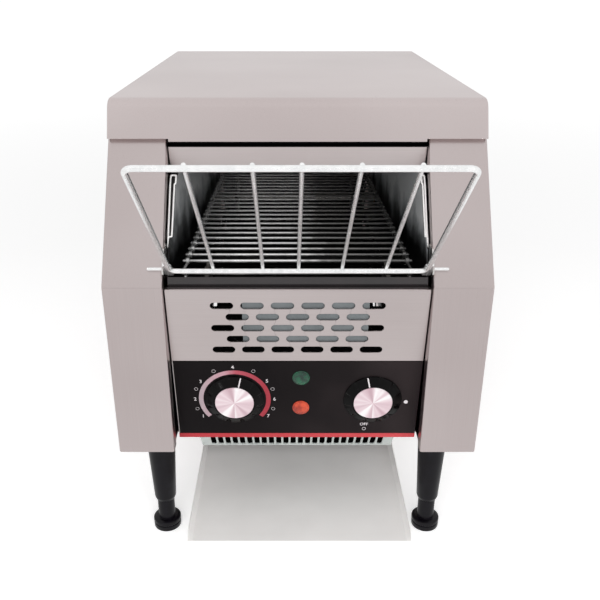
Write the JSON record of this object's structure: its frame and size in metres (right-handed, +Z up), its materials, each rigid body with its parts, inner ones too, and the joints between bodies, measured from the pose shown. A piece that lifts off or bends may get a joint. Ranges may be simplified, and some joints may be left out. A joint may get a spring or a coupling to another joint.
{
  "type": "conveyor toaster",
  "caption": "Free-standing conveyor toaster: folded steel casing, hinged wire feed rack, wire belt between heating tubes, sloped slide to a pull-out tray, knob panel, adjustable legs.",
  "frame": {"origin": "on the floor, at the middle of the footprint of the whole machine with its rack and tray", "axes": "+Y from the feed side towards the back, +X to the right as seen from the feed side, +Z up"},
  "size_m": [0.2922, 0.5728, 0.382],
  "materials": {
    "cover_steel": "satin",
    "bright_steel": "bright",
    "chamber_steel": "heat-darkened",
    "hood_steel": "satin",
    "vent_steel": "satin",
    "baffle_steel": "satin",
    "panel_black": "printed satin",
    "grille_steel": "satin",
    "inner_steel": "dull",
    "reflector": "polished",
    "tube_glass": "translucent",
    "ceramic": "glazed ceramic",
    "bronze": "oiled",
    "belt_wire": "heat-tinted",
    "rack_wire": "bright",
    "shaft_steel": "ground",
    "sprocket_steel": "machined",
    "chain_steel": "oiled",
    "motor_case": "zinc-plated",
    "knob_black": "gloss",
    "cap_metal": "spun",
    "switch_plastic": "matt",
    "green_lens": "translucent",
    "orange_lens": "translucent",
    "leg_plastic": "satin",
    "screw_steel": "plated"
  },
  "bodies": {
    "casing": {"top_cover": "cover_steel", "left_side_cover": "cover_steel", "right_side_cover": "cover_steel", "rear_panel": "cover_steel", "base_plate": "inner_steel", "left_inner_wall": "chamber_steel", "right_inner_wall": "chamber_steel", "left_bread_guide": "bright_steel", "right_bread_guide": "bright_steel", "hood_panel": "hood_steel", "vent_panel": "vent_steel", "vent_baffle": "baffle_steel", "crumb_guard": "chamber_steel", "control_panel": "panel_black", "chin_grille": "grille_steel", "control_box_shield": "inner_steel", "upper_reflector": "reflector", "toast_slide": "bright_steel", "tray_rails": "inner_steel", "rack_eyes": "bright_steel", "upper_heaters": "tube_glass", "lower_heaters": "tube_glass", "heater_bushes": "ceramic", "shaft_bearings": "bronze", "conveyor_belt": "belt_wire", "gear_motor": "motor_case", "motor_bracket": "inner_steel", "drive_chain": "chain_steel", "speed_regulator": "switch_plastic", "selector_switch": "switch_plastic", "power_lens": "green_lens", "heat_lens": "orange_lens", "lamp_bodies": "switch_plastic", "terminal_block": "ceramic", "cord_gland": "switch_plastic", "front_left_leg": "leg_plastic", "front_right_leg": "leg_plastic", "rear_left_leg": "leg_plastic", "rear_right_leg": "leg_plastic", "leg_nuts": "screw_steel", "cover_screws": "screw_steel"},
    "feed_rack": {"feed_rack": "rack_wire"},
    "toast_tray": {"toast_tray": "bright_steel"},
    "speed_knob": {"speed_knob": "knob_black", "speed_knob_cap": "cap_metal"},
    "selector_knob": {"selector_knob": "knob_black", "selector_knob_cap": "cap_metal"},
    "rear_shaft": {"rear_shaft": "shaft_steel", "rear_sprockets": "sprocket_steel", "driven_sprocket": "sprocket_steel"},
    "front_shaft": {"front_shaft": "shaft_steel", "front_sprockets": "sprocket_steel"},
    "motor_sprocket": {"motor_sprocket": "sprocket_steel"},
    "front_left_foot": {"front_left_foot": "leg_plastic"},
    "front_right_foot": {"front_right_foot": "leg_plastic"},
    "rear_left_foot": {"rear_left_foot": "leg_plastic"},
    "rear_right_foot": {"rear_right_foot": "leg_plastic"}
  },
  "joints": [
    {"name": "rack_hinge", "type": "hinge", "parent": "casing", "child": "feed_rack", "pos_m": [0, -0.16307, 0.2707], "axis": [-1, 0, 0], "range_deg": [0, 65]},
    {"name": "tray_slide", "type": "slide", "parent": "casing", "child": "toast_tray", "axis": [0, -1, 0], "range_m": [0, 0.15]},
    {"name": "speed_turn", "type": "hinge", "parent": "casing", "child": "speed_knob", "pos_m": [-0.0505, -0.15172, 0.15292], "axis": [0, 0.9911, 0.1335], "range_deg": [-139, 111]},
    {"name": "selector_turn", "type": "hinge", "parent": "casing", "child": "selector_knob", "pos_m": [0.061, -0.15172, 0.15292], "axis": [0, 0.9911, 0.1335], "range_deg": [-90, 180]},
    {"name": "rear_shaft_turn", "type": "hinge", "parent": "casing", "child": "rear_shaft", "pos_m": [0, 0.20035, 0.22185], "axis": [-1, 0, 0], "continuous": true},
    {"name": "front_shaft_turn", "type": "hinge", "parent": "casing", "child": "front_shaft", "pos_m": [0, -0.13257, 0.2393], "axis": [-1, 0, 0], "continuous": true},
    {"name": "motor_turn", "type": "hinge", "parent": "casing", "child": "motor_sprocket", "pos_m": [0, 0.11839, 0.15782], "axis": [-1, 0, 0], "continuous": true},
    {"name": "front_left_foot_screw", "type": "slide", "parent": "casing", "child": "front_left_foot", "axis": [0, 0, -1], "range_m": [0, 0.01]},
    {"name": "front_right_foot_screw", "type": "slide", "parent": "casing", "child": "front_right_foot", "axis": [0, 0, -1], "range_m": [0, 0.01]},
    {"name": "rear_left_foot_screw", "type": "slide", "parent": "casing", "child": "rear_left_foot", "axis": [0, 0, -1], "range_m": [0, 0.01]},
    {"name": "rear_right_foot_screw", "type": "slide", "parent": "casing", "child": "rear_right_foot", "axis": [0, 0, -1], "range_m": [0, 0.01]}
  ],
  "couplings": [
    {"joint": "front_shaft_turn", "follows": "rear_shaft_turn", "ratio": 1},
    {"joint": "motor_turn", "follows": "rear_shaft_turn", "ratio": 1}
  ]
}
